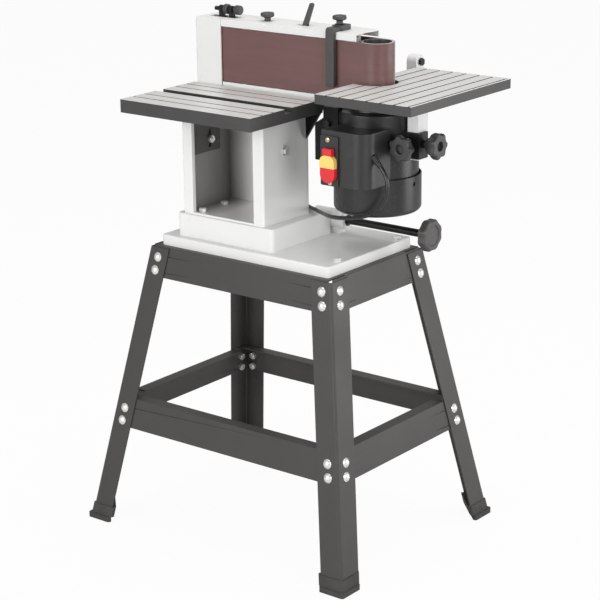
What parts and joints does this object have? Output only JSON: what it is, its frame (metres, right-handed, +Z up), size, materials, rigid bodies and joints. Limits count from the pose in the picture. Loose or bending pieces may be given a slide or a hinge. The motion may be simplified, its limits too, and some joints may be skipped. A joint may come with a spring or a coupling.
{
  "type": "belt sander",
  "caption": "Stationary belt sander on a splayed sheet-metal stand, with a tilting arm, motor under the drive drum, grooved work table and grooved end table.",
  "frame": {"origin": "on the floor under the middle of the machine's box", "axes": "+X along the belt from the idler to the drive drum, +Y from the front to the back, +Z up"},
  "size_m": [0.6802, 0.4898, 1.0058],
  "materials": {
    "stand_paint": "fine textured dark grey powder coat",
    "white_enamel": "smooth off-white machine enamel",
    "black_paint": "satin black paint",
    "motor_black": "semi-gloss black paint on a cast shell",
    "table_aluminium": "machined grooved top with grey painted edges",
    "drum_aluminium": "turned aluminium",
    "belt_cloth": "red-brown abrasive grit on cloth",
    "steel": "bright ground steel",
    "zinc": "zinc plated",
    "knob_plastic": "moulded dark grey",
    "switch_black": "moulded black with a fine grain",
    "red_plastic": "moulded red",
    "yellow_plastic": "moulded yellow",
    "rubber_black": "moulded rubber",
    "cord_black": "smooth cord jacket"
  },
  "bodies": {
    "stand": {"leg_front_left": "stand_paint", "leg_front_right": "stand_paint", "leg_rear_left": "stand_paint", "leg_rear_right": "stand_paint", "top_rail_front": "stand_paint", "top_rail_rear": "stand_paint", "top_rail_left": "stand_paint", "top_rail_right": "stand_paint", "brace_front": "stand_paint", "brace_rear": "stand_paint", "brace_left": "stand_paint", "brace_right": "stand_paint", "rubber_feet": "rubber_black", "stand_bolts": "zinc", "stand_nuts": "zinc", "base_casting": "white_enamel", "base_bolts": "zinc", "pedestal": "white_enamel", "table_lock_bolts": "zinc", "cord_base": "cord_black", "cord_coil": "cord_black", "plug": "cord_black"},
    "work_table": {"main_table": "table_aluminium", "table_bracket": "black_paint"},
    "arm": {"pivot_shaft": "steel", "tilt_bracket": "white_enamel", "arm_frame": "white_enamel", "platen": "steel", "top_plate": "white_enamel", "end_cover": "white_enamel", "sanding_belt": "belt_cloth", "motor_body": "motor_black", "fan_cover": "black_paint", "mount_plate": "black_paint", "switch_box": "switch_black", "switch_plate": "switch_black", "rear_post": "white_enamel", "bar_clamp": "black_paint", "arm_bolts": "black_paint", "strain_relief": "cord_black", "cord_arm": "cord_black"},
    "tilt_lock": {"lock_rod": "black_paint", "lock_knob": "knob_plastic"},
    "rotor": {"drive_drum": "drum_aluminium", "motor_shaft": "steel", "cooling_fan": "knob_plastic"},
    "carriage": {"idler_carriage": "black_paint", "idler_axle": "steel"},
    "idler": {"idler_drum": "drum_aluminium"},
    "tracking": {"tracking_screw": "knob_plastic"},
    "lever": {"tension_lever": "black_paint"},
    "cap_knob": {"cover_knob": "knob_plastic"},
    "stop": {"stop_bar": "black_paint"},
    "stop_clamp": {"stop_knob": "knob_plastic"},
    "side_table": {"end_table": "table_aluminium", "table_bar": "white_enamel"},
    "front_clamp": {"front_knob": "knob_plastic"},
    "side_clamp": {"side_knob": "knob_plastic"},
    "switch": {"paddle": "red_plastic"},
    "key": {"safety_key": "yellow_plastic"}
  },
  "joints": [
    {"name": "arm_tilt", "type": "hinge", "parent": "stand", "child": "arm", "pos_m": [0.0526, 0.081, 0.594], "axis": [-1, 0, 0], "range_deg": [0, 90]},
    {"name": "lock_turn", "type": "hinge", "parent": "arm", "child": "tilt_lock", "pos_m": [0.2226, 0.081, 0.594], "axis": [1, 0, 0], "range_deg": [-360, 360]},
    {"name": "main_table_lift", "type": "slide", "parent": "stand", "child": "work_table", "axis": [0, 0, 1], "range_m": [-0.014, 0.011]},
    {"name": "drive_spin", "type": "hinge", "parent": "arm", "child": "rotor", "pos_m": [0.1626, 0.031, 0.9], "axis": [0, 0, 1], "continuous": true},
    {"name": "idler_slide", "type": "slide", "parent": "arm", "child": "carriage", "axis": [1, 0, 0], "range_m": [0, 0.008]},
    {"name": "idler_spin", "type": "hinge", "parent": "carriage", "child": "idler", "pos_m": [-0.19831, 0.031, 0.9], "axis": [0, 0, 1], "continuous": true},
    {"name": "tracking_turn", "type": "hinge", "parent": "carriage", "child": "tracking", "pos_m": [-0.19831, 0.031, 0.9781], "axis": [1, 0, 0], "range_deg": [-360, 360]},
    {"name": "lever_turn", "type": "hinge", "parent": "arm", "child": "lever", "pos_m": [-0.01401, 0.031, 0.9281], "axis": [0, -1, 0], "range_deg": [0, 15.4]},
    {"name": "cover_knob_turn", "type": "hinge", "parent": "arm", "child": "cap_knob", "pos_m": [-0.08841, 0.031, 0.9641], "axis": [0, 0, 1], "range_deg": [-360, 360]},
    {"name": "stop_slide", "type": "slide", "parent": "arm", "child": "stop", "axis": [0, -1, 0], "range_m": [0, 0.012]},
    {"name": "stop_knob_turn", "type": "hinge", "parent": "arm", "child": "stop_clamp", "pos_m": [0.0866, 0.02, 0.9741], "axis": [0, 0, 1], "range_deg": [-360, 360]},
    {"name": "end_table_lift", "type": "slide", "parent": "arm", "child": "side_table", "axis": [0, 0, 1], "range_m": [0, 0.04]},
    {"name": "front_knob_turn", "type": "hinge", "parent": "arm", "child": "front_clamp", "pos_m": [0.2516, 0, 0.775], "axis": [0, 1, 0], "range_deg": [-360, 360]},
    {"name": "side_knob_turn", "type": "hinge", "parent": "arm", "child": "side_clamp", "pos_m": [0.2826, 0.022, 0.778], "axis": [1, 0, 0], "range_deg": [-360, 360]},
    {"name": "paddle_swing", "type": "hinge", "parent": "arm", "child": "switch", "pos_m": [0.1461, -0.0943, 0.7725], "axis": [-1, 0, 0], "range_deg": [0, 18]},
    {"name": "key_pull", "type": "slide", "parent": "switch", "child": "key", "axis": [0, -1, 0], "range_m": [0, 0.02]}
  ],
  "couplings": [
    {"joint": "lever_turn", "follows": "idler_slide", "rad_per_m": 33.597},
    {"joint": "idler_spin", "follows": "drive_spin", "ratio": 1}
  ]
}
